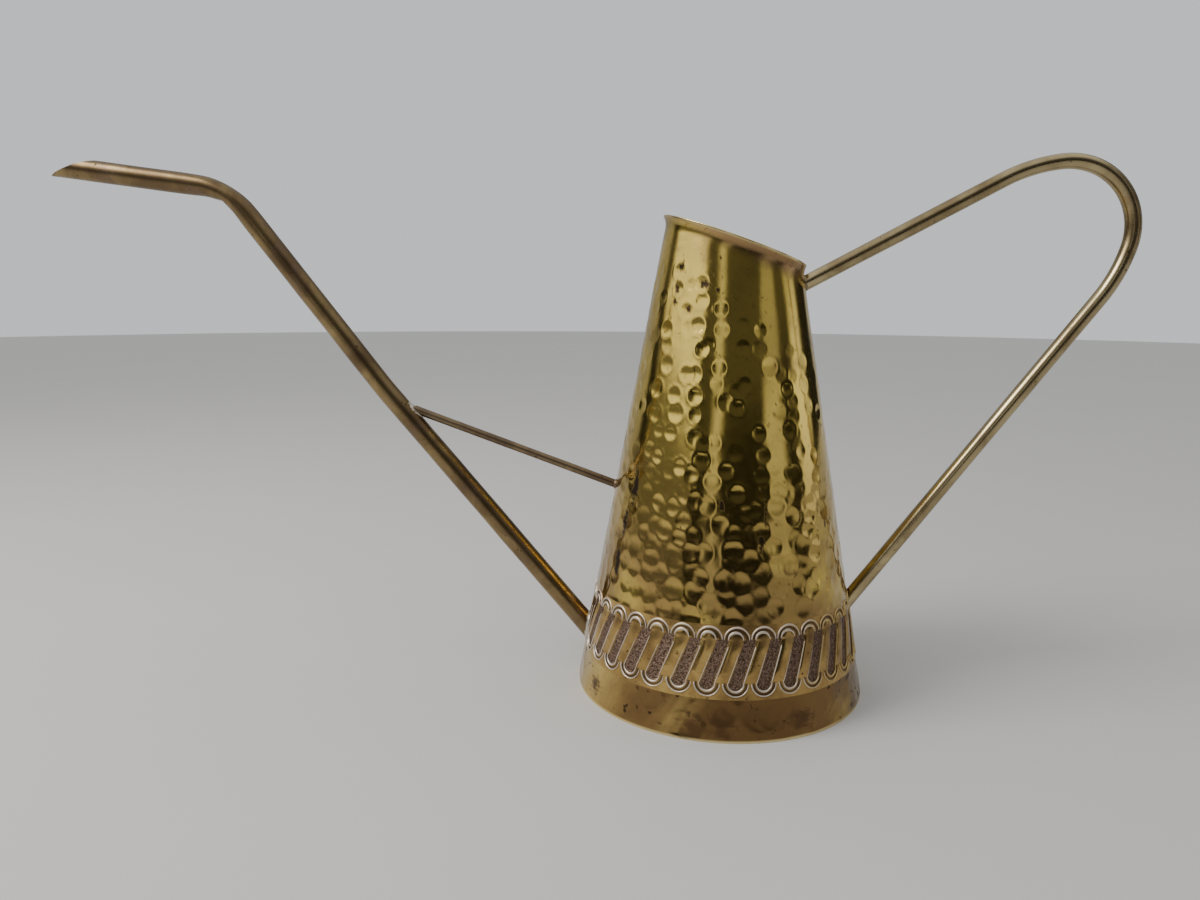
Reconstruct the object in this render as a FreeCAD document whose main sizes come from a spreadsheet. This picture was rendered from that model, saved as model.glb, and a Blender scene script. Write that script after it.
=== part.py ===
"""A soldered brass watering can: a conical body, a long bent spout, its brace and a tube handle.

Millimetres. The origin is the centre of the foot, on the surface the can stands on. +Z is up, the
handle leaves on +X and the spout on -X. The tubes and the brace lie in the middle plane, y = 0.
"""
import FreeCAD, Part
import math
import os
import Sketcher

Vector = FreeCAD.Vector
CROSSWISE = Vector(0, 1, 0)

# The driving dimensions, in mm and degrees. A reach is a distance from the body's axis.
DIMENSIONS = {
    "base_radius": (70, "outside radius of the body at the foot"),
    "wall_lean": (10.22, "lean of the wall from upright"),
    "sheet_gauge": (0.8, "thickness of the body sheet and of the base sheet"),
    "mouth_height": (215.6, "height of the mouth's edge on the body's axis"),
    "mouth_tilt": (20, "slant of the mouth, down towards the handle"),
    "lip_height": (4, "height of the flared lip"),
    "lip_flare": (1.8, "how far the lip turns outwards"),
    "base_recess": (5, "height of the base plate's underside"),
    "flange_edge": (1.4, "height of the lower edge of the base plate's turned flange"),
    "base_fillet": (1, "height of the solder under that flange"),
    "seam_width": (3, "width of the solder along the body's lengthwise seam"),
    "seam_depth": (0.4, "how far that solder stands in from the wall"),
    "spout_radius": (5, "outside radius of the spout"),
    "spout_gauge": (0.8, "thickness of the spout's wall"),
    "spout_root_reach": (66.8, "reach of the spout's axis where it meets the body"),
    "spout_root_height": (26.2, "height of that point"),
    "spout_inner_length": (7, "length of the spout inside that point"),
    "spout_bow_reach": (166, "reach of the slight bow in the spout"),
    "spout_bow_height": (143.6, "height of the bow"),
    "spout_bow_radius": (200, "centreline radius of the bow"),
    "spout_bend_reach": (239.1, "reach of the corner of the spout's bend"),
    "spout_bend_height": (238.5, "height of that corner"),
    "spout_bend_radius": (32, "centreline radius of the bend"),
    "spout_tip_reach": (325.6, "reach of the lower lip of the spout"),
    "spout_tip_rise": (7.38, "rise of the spout's last run"),
    "spout_tip_cut": (28, "angle between the slanting cut of the tip and the spout's axis"),
    "brace_radius": (2, "radius of the rod between the body and the spout"),
    "brace_root_reach": (46, "reach of the rod's rear end, before it is fitted to the wall"),
    "brace_root_height": (95.97, "height of that end"),
    "brace_length": (118, "length of the rod before it is fitted"),
    "brace_rise": (19.72, "rise of the rod towards the spout"),
    "brace_overrun": (6.7, "length of the rod's rear end that is fitted away"),
    "handle_radius": (3.5, "outside radius of the handle tube"),
    "handle_gauge": (0.8, "thickness of the handle's wall"),
    "handle_top_reach": (22.42, "reach of the upper end of the handle, before it is fitted"),
    "handle_top_height": (188.85, "height of that end"),
    "handle_top_rise": (28.26, "rise of the upper run"),
    "handle_low_reach": (54.36, "reach of the lower end of the handle, before it is fitted"),
    "handle_low_height": (30.11, "height of that end"),
    "handle_low_rise": (54.34, "rise of the lower run"),
    "handle_overrun": (14, "length of each run of the handle that is fitted away"),
    "bend_reach": (150.1, "reach of the centre of the handle's tight bend"),
    "bend_height": (220, "height of that centre"),
    "bend_radius": (30.24, "centreline radius of the tight bend"),
    "easing_radius": (70, "centreline radius of the easier curves beside it"),
    "solder_spread": (2.8, "how far the solder at a tube's end spreads along the wall"),
    "solder_rise": (3.4, "how far it climbs out from the wall"),
    "brace_solder_spread": (2.3, "spread of the solder round the rod"),
    "brace_solder_rise": (2.4, "climb of the solder round the rod"),
    "brace_solder_length": (6.5, "half length of the solder at the rod's front end"),
    "brace_solder_setback": (7.2, "distance of its middle from that end"),
}

# Expressions that several pieces share.
TAPER = "tan(dims.wall_lean)"
WALL_ACROSS = "dims.sheet_gauge / cos(dims.wall_lean)"
LIP_FOOT = "(dims.mouth_height - dims.lip_height)"
BLANK_TOP = "(dims.mouth_height + dims.base_radius / 2)"
SPOUT_ROOT_RISE = ("(atan((dims.spout_bow_height - dims.spout_root_height)"
                   " / (dims.spout_bow_reach - dims.spout_root_reach)) / 1 deg)")
SPOUT_FOOT = ("dims.spout_inner_length * cos(%s) - dims.spout_root_reach" % SPOUT_ROOT_RISE,
              "dims.spout_root_height - dims.spout_inner_length * sin(%s)" % SPOUT_ROOT_RISE)
HANDLE_TOP_END = ("dims.handle_top_reach", "dims.handle_top_height")
HANDLE_LOW_END = ("dims.handle_low_reach", "dims.handle_low_height")
BRACE_END = ("-dims.brace_root_reach", "dims.brace_root_height")
BRACE_WAY = "(180 - dims.brace_rise)"
SPOUT_WAY = "(180 - %s)" % SPOUT_ROOT_RISE
HANDLE_SIDE = "dims.wall_lean"
SPOUT_SIDE = "(180 - dims.wall_lean)"

doc = FreeCAD.newDocument("watering_can")
sheet = doc.addObject("Spreadsheet::Sheet", "dims")
for row, (alias, (value, meaning)) in enumerate(DIMENSIONS.items(), start=1):
    sheet.set("A%d" % row, str(value))
    sheet.setAlias("A%d" % row, alias)
    sheet.set("B%d" % row, meaning)
doc.recompute()


def evaluate(expression):
    """The value of an expression of the sheet."""
    return float(sheet.evalExpression(expression.replace("dims.", "")))


def evaluate_point(expressions):
    """A sketch point from its two expressions, across and up."""
    across, up = expressions
    return Vector(evaluate(across), evaluate(up), 0)


def wall_reach(height, inset="0"):
    """The body's outside radius at a height, less an inset, as an expression."""
    return "(dims.base_radius - %s * (%s) - (%s))" % (TAPER, height, inset)


def run_point(end, way, length):
    """The point at a length from an end, in a direction measured from +X up, as two expressions."""
    return ("%s + (%s) * cos(%s)" % (end[0], length, way),
            "%s + (%s) * sin(%s)" % (end[1], length, way))


# Helpers for primitives of the Part workbench.

def bind(item, **expressions):
    """Ties properties of one object to expressions of the sheet."""
    for name, expression in expressions.items():
        item.setExpression(name, expression)
    return item


def stand(item, place, turn):
    """Puts an object's foot at a point of the middle plane, its axis turned about Y from upright."""
    item.Placement = FreeCAD.Placement(Vector(), FreeCAD.Rotation(CROSSWISE, 1))
    item.setExpression(".Placement.Base.x", place[0])
    item.setExpression(".Placement.Base.z", place[1])
    item.setExpression(".Placement.Rotation.Angle", turn)
    return item


def rod(label, radius, length, place, way):
    """A solid round rod from a point of the middle plane, in a direction measured from +X up."""
    item = bind(doc.addObject("Part::Cylinder", label), Radius=radius, Height=length)
    return stand(item, place, "90 - %s" % way)


def cone(label, inset, bottom, top):
    """A solid with the body's taper, inset from its outside, between two heights."""
    item = bind(doc.addObject("Part::Cone", label), Radius1=wall_reach(bottom, inset),
                Radius2=wall_reach(top, inset), Height="%s - %s" % (top, bottom))
    return stand(item, ("0", bottom), "0")


def solder_drop(label, along, across, sideways, place, way):
    """An egg-shaped drop: half sizes along its own direction, across it and sideways."""
    item = bind(doc.addObject("Part::Ellipsoid", label), Radius1=along, Radius2=across,
                Radius3=sideways)
    return stand(item, place, "90 - %s" % way)


def joined(kind, label, base, tool):
    """A boolean of two objects: kind is Cut, Fuse or Common."""
    result = doc.addObject("Part::" + kind, label)
    result.Base = base
    result.Tool = tool
    return result


def fitted(label, base, *tools):
    """The base with every tool cut away in turn. The last result has the label."""
    for number, tool in enumerate(tools, start=1):
        name = label if number == len(tools) else "%s_fitting_%d" % (label, number)
        base = joined("Cut", name, base, tool)
    return base


# Helpers for sketched bodies.

def sketch_on(body, name, role):
    """An empty sketch on an origin plane of its own body."""
    sketch = body.newObject("Sketcher::SketchObject", name)
    plane = next(item for item in body.Origin.OriginFeatures if item.Role == role)
    sketch.AttachmentSupport = [(plane, "")]
    sketch.MapMode = "FlatFace"
    return sketch


def constrain(sketch, expression, kind, *geometry):
    """Adds one dimension to a sketch and ties it to an expression."""
    index = sketch.addConstraint(Sketcher.Constraint(kind, *geometry, evaluate(expression)))
    sketch.setExpression("Constraints[%d]" % index, expression)


def fix_point(sketch, geometry, vertex, place):
    """Holds one point of a sketch at its two expressions, across and up."""
    constrain(sketch, place[0], "DistanceX", -1, 1, geometry, vertex)
    constrain(sketch, place[1], "DistanceY", -1, 1, geometry, vertex)


def spun_body(label, corners):
    """A closed outline of corners in the XZ plane, turned about the Z axis."""
    body = doc.addObject("PartDesign::Body", label)
    sketch = sketch_on(body, label + "_outline", "XZ_Plane")
    points = [evaluate_point(corner) for corner in corners]
    for start, end in zip(points, points[1:] + points[:1]):
        sketch.addGeometry(Part.LineSegment(start, end), False)
    for number, corner in enumerate(corners):
        following = (number + 1) % len(corners)
        sketch.addConstraint(Sketcher.Constraint("Coincident", number, 2, following, 1))
        fix_point(sketch, number, 1, corner)
    turned = body.newObject("PartDesign::Revolution", label + "_turned")
    turned.Profile = sketch
    turned.ReferenceAxis = (sketch, ["V_Axis"])
    turned.Angle = 360
    return body


def nearest_vertex(sketch, geometry, point):
    """Which end of a line or arc of a sketch lies at a point: 1 or 2."""
    return min((1, 2), key=lambda vertex: sketch.getPoint(geometry, vertex).distanceToPoint(point))


def path_sketch(body, label, pieces, joints):
    """A chain of lines and arcs in the XZ plane, tangent to each other at the joints."""
    sketch = sketch_on(body, label + "_path", "XZ_Plane")
    for piece in pieces:
        sketch.addGeometry(piece, False)
    for number, joint in enumerate(joints):
        ends = [nearest_vertex(sketch, number + step, joint) for step in (0, 1)]
        sketch.addConstraint(Sketcher.Constraint("Tangent", number, ends[0], number + 1, ends[1]))
    return sketch


def swept_tube(body, label, path, radius, gauge, foot, rise):
    """A round tube along a path that starts at its foot, rising from +X."""
    section = sketch_on(body, label + "_section", "YZ_Plane")
    section.AttachmentOffset = FreeCAD.Placement(Vector(), FreeCAD.Rotation(Vector(1, 0, 0), 1))
    section.setExpression(".AttachmentOffset.Base.z", foot[0])
    section.setExpression(".AttachmentOffset.Base.y", foot[1])
    section.setExpression(".AttachmentOffset.Rotation.Angle", "-(%s)" % rise)
    for number, circle_radius in enumerate((radius, "%s - %s" % (radius, gauge))):
        section.addGeometry(Part.Circle(Vector(), Vector(0, 0, 1), evaluate(circle_radius)), False)
        section.addConstraint(Sketcher.Constraint("Coincident", number, 3, -1, 1))
        constrain(section, circle_radius, "Radius", number)
    pipe = body.newObject("PartDesign::AdditivePipe", label + "_swept")
    pipe.Profile = section
    pipe.Spine = path


# The solids that the pieces are cut to fit: the outside of the cone, the lip, the tubes and the rod.

def lip_section(label, height, outset):
    """The ellipse that a slanting plane, at a height on the axis, cuts from the body's cone."""
    slope = "(%s * tan(dims.mouth_tilt))" % TAPER
    reach = "(%s + (%s))" % (wall_reach(height), outset)
    shift = "(%s * %s / (1 - %s ^ 2))" % (reach, slope, slope)
    ellipse = bind(doc.addObject("Part::Ellipse", label),
                   MajorRadius="%s / (1 - %s ^ 2) / cos(dims.mouth_tilt)" % (reach, slope),
                   MinorRadius="%s / sqrt(1 - %s ^ 2)" % (reach, slope))
    return stand(ellipse, (shift, "%s - %s * tan(dims.mouth_tilt)" % (height, shift)),
                 "dims.mouth_tilt")


def lip_solid(label, inset):
    """The space inside one surface of the flared lip."""
    loft = doc.addObject("Part::Loft", label)
    loft.Sections = [
        lip_section(label + "_foot", LIP_FOOT, "-(%s)" % inset),
        lip_section(label + "_edge", "dims.mouth_height", "dims.lip_flare - (%s)" % inset),
    ]
    loft.Solid = True
    loft.Ruled = True
    return loft


def handle_core(name, end, rise):
    """A solid rod in the place of one straight run of the handle."""
    return rod(name, "dims.handle_radius", "3 * dims.handle_overrun", end, rise)


body_envelope = cone("body_envelope", "0", "0", BLANK_TOP)
body_hollow = cone("body_hollow", WALL_ACROSS, "0", BLANK_TOP)
mouth_cutter = rod("mouth_cutter", "2 * dims.base_radius", "2 * dims.base_radius",
                   ("0", LIP_FOOT), "(90 - dims.mouth_tilt)")
lip_envelope = lip_solid("lip_envelope", "0")
spout_core = rod("spout_core", "dims.spout_radius", "dims.spout_bow_reach", SPOUT_FOOT, SPOUT_WAY)
brace_blank = rod("brace_blank", "dims.brace_radius", "dims.brace_length", BRACE_END, BRACE_WAY)
handle_top_core = handle_core("handle_top_core", HANDLE_TOP_END, "dims.handle_top_rise")
handle_low_core = handle_core("handle_low_core", HANDLE_LOW_END, "dims.handle_low_rise")


# The body, its base and the solder that holds them.

def make_body_shell():
    """The rolled sheet cone with its slanting flared mouth and the hole for the spout."""
    wall = fitted("body_wall", body_envelope, body_hollow, mouth_cutter)
    lip = joined("Cut", "lip", lip_envelope, lip_solid("lip_hollow", WALL_ACROSS))
    return fitted("body_shell", joined("Fuse", "body_with_lip", wall, lip), spout_core)


def make_base_plate():
    """The recessed bottom, a disc with its edge turned down inside the foot."""
    top = "(dims.base_recess + dims.sheet_gauge)"
    inner = "2 * %s" % WALL_ACROSS
    return spun_body("base_plate", [
        ("0", "dims.base_recess"),
        (wall_reach("dims.base_recess", inner), "dims.base_recess"),
        (wall_reach("dims.flange_edge", inner), "dims.flange_edge"),
        (wall_reach("dims.flange_edge", WALL_ACROSS), "dims.flange_edge"),
        (wall_reach(top, WALL_ACROSS), top),
        ("0", top),
    ])


def make_base_solder():
    """The ring of solder in the corner between the flange's edge and the foot."""
    low = "(dims.flange_edge - dims.base_fillet)"
    return spun_body("base_solder", [
        (wall_reach("dims.flange_edge", "2 * %s" % WALL_ACROSS), "dims.flange_edge"),
        (wall_reach("dims.flange_edge", WALL_ACROSS), "dims.flange_edge"),
        (wall_reach(low, WALL_ACROSS), low),
    ])


def make_seam_solder():
    """The solder on the inside of the body's lengthwise seam, behind the handle."""
    bottom = "(dims.base_recess + dims.sheet_gauge)"
    liner = fitted("seam_liner", cone("seam_outside", WALL_ACROSS, bottom, BLANK_TOP),
                   cone("seam_inside", "%s + dims.seam_depth" % WALL_ACROSS, bottom, BLANK_TOP),
                   mouth_cutter)
    strip = bind(doc.addObject("Part::Box", "seam_strip"), Length="dims.base_radius",
                 Width="dims.seam_width", Height=BLANK_TOP)
    strip.setExpression(".Placement.Base.y", "-dims.seam_width / 2")
    return joined("Common", "body_seam_solder", liner, strip)


# The spout.

def rounded_path(corners, radii):
    """Lines and tangent arcs that follow a run of corners, and the points where they join."""
    pieces = []
    joints = []
    start = corners[0]
    for corner, following, radius in zip(corners[1:-1], corners[2:], radii):
        arriving = (corner - start).normalize()
        leaving = (following - corner).normalize()
        half_turn = arriving.getAngle(leaving) / 2
        entry = corner - arriving * radius * math.tan(half_turn)
        leave = corner + leaving * radius * math.tan(half_turn)
        middle = corner + (leaving - arriving).normalize() * radius * (1 / math.cos(half_turn) - 1)
        pieces += [Part.LineSegment(start, entry), Part.Arc(entry, middle, leave)]
        joints += [entry, leave]
        start = leave
    pieces.append(Part.LineSegment(start, corners[-1]))
    return pieces, joints


def make_spout():
    """The long tube: a straight run with a slight bow, a bend, and a tip cut on the slant."""
    overrun = "(dims.spout_tip_reach + dims.spout_radius)"
    corners = [
        SPOUT_FOOT,
        ("-dims.spout_bow_reach", "dims.spout_bow_height"),
        ("-dims.spout_bend_reach", "dims.spout_bend_height"),
        ("-" + overrun,
         "dims.spout_bend_height + (%s - dims.spout_bend_reach) * tan(dims.spout_tip_rise)" % overrun),
    ]
    radii = ["dims.spout_bow_radius", "dims.spout_bend_radius"]
    pieces, joints = rounded_path([evaluate_point(corner) for corner in corners],
                                  [evaluate(radius) for radius in radii])
    body = doc.addObject("PartDesign::Body", "spout_blank")
    path = path_sketch(body, "spout", pieces, joints)
    fix_point(path, 0, 1, corners[0])
    fix_point(path, len(pieces) - 1, 2, corners[-1])
    for number, (corner, radius) in enumerate(zip(corners[1:-1], radii)):
        arc = 2 * number + 1
        constrain(path, radius, "Radius", arc)
        point = path.addGeometry(Part.Point(evaluate_point(corner)), True)
        fix_point(path, point, 1, corner)
        for line in (arc - 1, arc + 1):
            path.addConstraint(Sketcher.Constraint("PointOnObject", point, 1, line))
    swept_tube(body, "spout", path, "dims.spout_radius", "dims.spout_gauge", SPOUT_FOOT, SPOUT_WAY)
    lip_run = ("((dims.spout_tip_reach - dims.spout_bend_reach - dims.spout_radius"
               " * sin(dims.spout_tip_rise)) / cos(dims.spout_tip_rise))")
    lip_height = ("dims.spout_bend_height + %s * sin(dims.spout_tip_rise)"
                  " - dims.spout_radius * cos(dims.spout_tip_rise)" % lip_run)
    tip_cutter = rod("tip_cutter", "6 * dims.spout_radius", "6 * dims.spout_radius",
                     ("-dims.spout_tip_reach", lip_height),
                     "(90 + dims.spout_tip_cut - dims.spout_tip_rise)")
    return fitted("spout_tube", body, tip_cutter)


# The handle.

def eased_run(end, rise, centre):
    """One straight run of the handle and the easier curve that leads it into the tight bend."""
    direction = Vector(math.cos(rise), math.sin(rise), 0)
    tight, easy = evaluate("dims.bend_radius"), evaluate("dims.easing_radius")
    foot = end + direction * (centre - end).dot(direction)
    offset = (centre - foot).Length
    inward = (centre - foot).normalize()
    run_end = foot - direction * math.sqrt((easy - tight) ** 2 - (easy - offset) ** 2)
    easy_centre = run_end + inward * easy
    curve_end = easy_centre + (centre - easy_centre).normalize() * easy
    middle = easy_centre + ((run_end + curve_end) / 2 - easy_centre).normalize() * easy
    return (direction, run_end, curve_end,
            [Part.LineSegment(end, run_end), Part.Arc(run_end, middle, curve_end)])


def make_handle():
    """The bent tube, its two ends fitted to the cone."""
    centre = Vector(evaluate("dims.bend_reach"), evaluate("dims.bend_height"), 0)
    rises = ["dims.handle_top_rise", "dims.handle_low_rise"]
    runs = [eased_run(evaluate_point(end), math.radians(evaluate(rise)), centre)
            for end, rise in zip((HANDLE_TOP_END, HANDLE_LOW_END), rises)]
    (top_way, top_run_end, top_curve_end, top), (low_way, low_run_end, low_curve_end, low) = runs
    far_point = centre + (top_way + low_way).normalize() * evaluate("dims.bend_radius")
    pieces = top + [Part.Arc(top_curve_end, far_point, low_curve_end)] + low[::-1]
    body = doc.addObject("PartDesign::Body", "handle_blank")
    path = path_sketch(body, "handle", pieces, [top_run_end, top_curve_end, low_curve_end, low_run_end])
    for line, end, rise in zip((0, 4), (HANDLE_TOP_END, HANDLE_LOW_END), rises):
        fix_point(path, line, 1, end)
        angle = path.addConstraint(Sketcher.Constraint("Angle", line, math.radians(evaluate(rise))))
        path.setExpression("Constraints[%d]" % angle, "%s * 1 deg" % rise)
    for arc, radius in ((1, "dims.easing_radius"), (2, "dims.bend_radius"), (3, "dims.easing_radius")):
        constrain(path, radius, "Radius", arc)
    fix_point(path, 2, 3, ("dims.bend_reach", "dims.bend_height"))
    swept_tube(body, "handle", path, "dims.handle_radius", "dims.handle_gauge",
               HANDLE_TOP_END, "dims.handle_top_rise")
    return fitted("handle", body, body_envelope, lip_envelope)


# The solder on the outside.

def wall_solder(label, core, radius, place, slant, side, spread, rise, *neighbours):
    """The solder round a tube that meets the wall, slanted from straight on, at a place."""
    drop = solder_drop(label + "_drop", rise, "%s / cos(%s) + %s" % (radius, slant, spread),
                       "%s + %s" % (radius, spread), place, side)
    return fitted(label, drop, body_envelope, core, *neighbours)


def make_handle_solder(label, end, rise, core):
    """The solder round one end of the handle."""
    return wall_solder(label, core, "dims.handle_radius",
                       run_point(end, rise, "dims.handle_overrun"),
                       "(%s + dims.wall_lean)" % rise, HANDLE_SIDE,
                       "dims.solder_spread", "dims.solder_rise", lip_envelope)


def make_spout_solder():
    """The solder round the spout where it enters the body."""
    return wall_solder("spout_root_solder", spout_core, "dims.spout_radius",
                       ("-dims.spout_root_reach", "dims.spout_root_height"),
                       "(%s - dims.wall_lean)" % SPOUT_ROOT_RISE, SPOUT_SIDE,
                       "dims.solder_spread", "dims.solder_rise")


def make_brace_rear_solder():
    """The solder round the brace's rear end, on the wall."""
    return wall_solder("brace_rear_solder", brace_blank, "dims.brace_radius",
                       run_point(BRACE_END, BRACE_WAY, "dims.brace_overrun"),
                       "(dims.brace_rise - dims.wall_lean)", SPOUT_SIDE,
                       "dims.brace_solder_spread", "dims.brace_solder_rise")


def make_brace_front_solder():
    """The solder beside the brace's front end, along the top of the spout."""
    place = run_point(BRACE_END, BRACE_WAY, "dims.brace_length - dims.brace_solder_setback")
    drop = solder_drop("brace_front_drop", "dims.brace_solder_rise", "dims.brace_solder_length",
                       "dims.brace_radius + dims.brace_solder_spread / 2", place,
                       "(%s - 90)" % SPOUT_WAY)
    return fitted("brace_front_solder", drop, spout_core, brace_blank)


pieces = [
    make_body_shell(),
    make_seam_solder(),
    make_base_plate(),
    make_base_solder(),
    make_spout(),
    make_spout_solder(),
    fitted("spout_brace", brace_blank, body_envelope, spout_core),
    make_brace_front_solder(),
    make_brace_rear_solder(),
    make_handle(),
    make_handle_solder("handle_upper_solder", HANDLE_TOP_END, "dims.handle_top_rise", handle_top_core),
    make_handle_solder("handle_lower_solder", HANDLE_LOW_END, "dims.handle_low_rise", handle_low_core),
]
doc.recompute()

for item in doc.Objects:
    if {"Invalid", "Error"} & set(item.State):
        raise RuntimeError("%s failed: %s" % (item.Label, item.State))
for piece in pieces:
    if piece.Shape.isNull() or not piece.Shape.isValid() or not piece.Shape.Solids:
        raise RuntimeError("%s is not a valid solid" % piece.Label)

os.makedirs("parts", exist_ok=True)
for piece in pieces:
    piece.Shape.exportStep(os.path.join("parts", piece.Label + ".step"))
    box = piece.Shape.BoundBox
    print("%-20s solids %d  volume %9.1f mm3  x %.1f..%.1f  y %.1f..%.1f  z %.1f..%.1f" % (
        piece.Label, len(piece.Shape.Solids), piece.Shape.Volume,
        box.XMin, box.XMax, box.YMin, box.YMax, box.ZMin, box.ZMax))
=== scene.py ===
"""Looks of a hammered brass watering can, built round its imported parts.

The parts' own frame: the foot's centre is the origin, +Z is up, the handle is on +X and the spout
on -X. Shapes are worked out in millimetres and become metres where vertices are placed. Materials
work in metres. An azimuth is a turn about +Z from +X.
"""

import math
import random

import bmesh
import bpy
import numpy as np
from mathutils import Matrix, Vector


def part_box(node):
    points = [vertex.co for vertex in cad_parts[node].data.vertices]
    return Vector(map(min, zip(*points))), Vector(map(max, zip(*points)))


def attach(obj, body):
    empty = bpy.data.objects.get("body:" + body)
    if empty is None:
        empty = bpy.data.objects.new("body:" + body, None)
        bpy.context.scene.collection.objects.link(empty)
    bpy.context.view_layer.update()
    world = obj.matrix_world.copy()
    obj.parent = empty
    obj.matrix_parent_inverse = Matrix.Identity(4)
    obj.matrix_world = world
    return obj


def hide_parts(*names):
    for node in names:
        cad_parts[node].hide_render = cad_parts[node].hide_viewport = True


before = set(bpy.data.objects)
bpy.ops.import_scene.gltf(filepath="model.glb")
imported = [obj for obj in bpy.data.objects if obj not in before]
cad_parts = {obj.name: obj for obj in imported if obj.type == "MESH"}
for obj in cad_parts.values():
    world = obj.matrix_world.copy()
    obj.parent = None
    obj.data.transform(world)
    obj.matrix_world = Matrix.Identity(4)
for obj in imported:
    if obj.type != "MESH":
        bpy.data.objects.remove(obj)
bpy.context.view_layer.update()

MM = 0.001
TAU = 2 * math.pi

# ---------------------------------------------------------------- the can's sizes, in millimetres
# A place in the middle plane is given as its x and its height.

BASE_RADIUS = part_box("body_shell")[1][0] / MM
SHEET = 0.8
WALL_LEAN = math.radians(10.22)
TAPER = math.tan(WALL_LEAN)
MOUTH_HEIGHT = 215.6
MOUTH_FALL = math.tan(math.radians(20))
LIP_HEIGHT = 6
LIP_FLARE = 1.9

SKIRT_START = 0.15
FOOT_TOP = 18.4
BAND_TOP = 50.2

SPOUT_RADIUS = 5
SPOUT_CORNERS = [(-62.28, 20.85), (-166, 143.6), (-239.1, 238.5), (-330.6, 250.35)]
SPOUT_BENDS = [200, 32]
SPOUT_ROOT = (-66.8, 26.2)
TIP_CUT = math.radians(28)
TIP_REACH = 325.6
TIP_LIP_HEIGHT = 244.7
TIP_EASING = 40
SPOUT_SIDES = 48
SPOUT_SPACING = 2
PINCH_LENGTH = 11
CREASE_DEPTH = 1.1
TUBE_GAUGE = 0.8

HANDLE_RADIUS = 3.5
HANDLE_TOP = (34.75, 195.48)
HANDLE_TOP_RISE = math.radians(28.26)
HANDLE_FOOT = (62.52, 41.48)
HANDLE_FOOT_RISE = math.radians(54.34)
HANDLE_SPACING = 2.2
BEND_CENTRE = (150.1, 220)
BEND_RADIUS = 30.24
EASING_RADIUS = 70

BRACE_RADIUS = 2
BRACE_REAR = (-52.3, 98.3)
BRACE_RISE = math.radians(19.72)
BRACE_LENGTH = 108.5
BRACE_SPACING = 2
TUBE_SINK = 0.3


def wall_radius(height):
    """Outside radius of the plain cone."""
    return BASE_RADIUS - TAPER * height


def mouth_edge(azimuth):
    """Height of the slanting mouth's edge at an azimuth."""
    fall = MOUTH_FALL * np.cos(azimuth)
    return (MOUTH_HEIGHT - fall * BASE_RADIUS) / (1 - fall * TAPER)


def on_cone(azimuth, height, out):
    """Points at a height on the cone, standing out from it along its normal."""
    radius = wall_radius(height) + out * math.cos(WALL_LEAN)
    level = height + out * math.sin(WALL_LEAN)
    return np.stack(np.broadcast_arrays(radius * np.cos(azimuth), radius * np.sin(azimuth), level), -1)


def turn_from(place, azimuth):
    """The shorter turn from one azimuth to others."""
    return (azimuth - place + math.pi) % TAU - math.pi


def bell(distance, width):
    """1 at no distance, falling away on both sides."""
    return np.exp(-(distance / width) ** 2)


def smooth_step(low, high, value):
    """0 under low, 1 over high, eased between."""
    share = np.clip((value - low) / (high - low), 0, 1)
    return share * share * (3 - 2 * share)


def ripple(seed, size, *places):
    """Gentle unevenness between about -1 and 1: seven waves of about one size, in any direction."""
    dice = random.Random(seed)
    total = 0
    waves = 7
    for _ in range(waves):
        phase = dice.uniform(0, TAU)
        for place in places:
            phase = phase + place * dice.uniform(-1, 1) * TAU / size
        total = total + np.sin(phase)
    return total / 4


# ---------------------------------------------------------------- mesh helpers

SPIN_STEPS = 90
SPIN_STEP = TAU / SPIN_STEPS
JOINED_WITHIN = 2e-6


def shaped_sheet(bm, points):
    """A grid bent to rows of points. finish_piece joins rows or columns that meet."""
    rows, columns = points.shape[:2]
    sheet = bmesh.ops.create_grid(bm, x_segments=columns - 1, y_segments=rows - 1, size=1)["verts"]
    for vertex, point in zip(sheet, points.reshape(-1, 3) * MM):
        vertex.co = point


def finish_piece(name, bm, material, crease=35):
    """Turns a closed bmesh into a smooth piece that rides on the can, sharp where it turns by more
    than crease degrees."""
    bmesh.ops.remove_doubles(bm, verts=bm.verts, dist=JOINED_WITHIN)
    bmesh.ops.recalc_face_normals(bm, faces=bm.faces)
    for edge in bm.edges:
        edge.smooth = edge.calc_face_angle(0) < math.radians(crease)
    mesh = bpy.data.meshes.new(name)
    bm.to_mesh(mesh)
    bm.free()
    mesh.polygons.foreach_set("use_smooth", [True] * len(mesh.polygons))
    mesh.materials.append(material)
    piece = bpy.data.objects.new(name, mesh)
    bpy.context.scene.collection.objects.link(piece)
    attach(piece, "root")
    return piece


def surface_values(piece, name, values):
    """Stores one number per vertex, for the material to read."""
    attribute = piece.data.attributes.new(name, "FLOAT", "POINT")
    attribute.data.foreach_set("value", values.astype(np.float32))


def turned_places(piece):
    """Azimuth and height of each vertex of a turned shell, and its depth in the sheet from 0 to SHEET.
    The radius is taken as if the spin's flats were round."""
    flat = np.empty(len(piece.data.vertices) * 3)
    piece.data.vertices.foreach_get("co", flat)
    x, y, height = flat.reshape(-1, 3).T / MM
    azimuth = np.arctan2(y, x)
    off_middle = azimuth % SPIN_STEP - SPIN_STEP / 2
    radius = np.hypot(x, y) * np.cos(off_middle) / math.cos(SPIN_STEP / 2)
    return azimuth, height, (wall_radius(height) - radius) * math.cos(WALL_LEAN)


def moved_points(piece, points):
    """Moves every vertex to the points given."""
    piece.data.vertices.foreach_set("co", (points * MM).ravel())
    piece.data.update()


def runs_round(edge):
    """Whether an edge runs round the can: its ends are at one height and one radius."""
    start, end = (vertex.co for vertex in edge.verts)
    return abs(start.z - end.z) < 1e-7 and abs(start.xy.length - end.xy.length) < 1e-6


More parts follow.
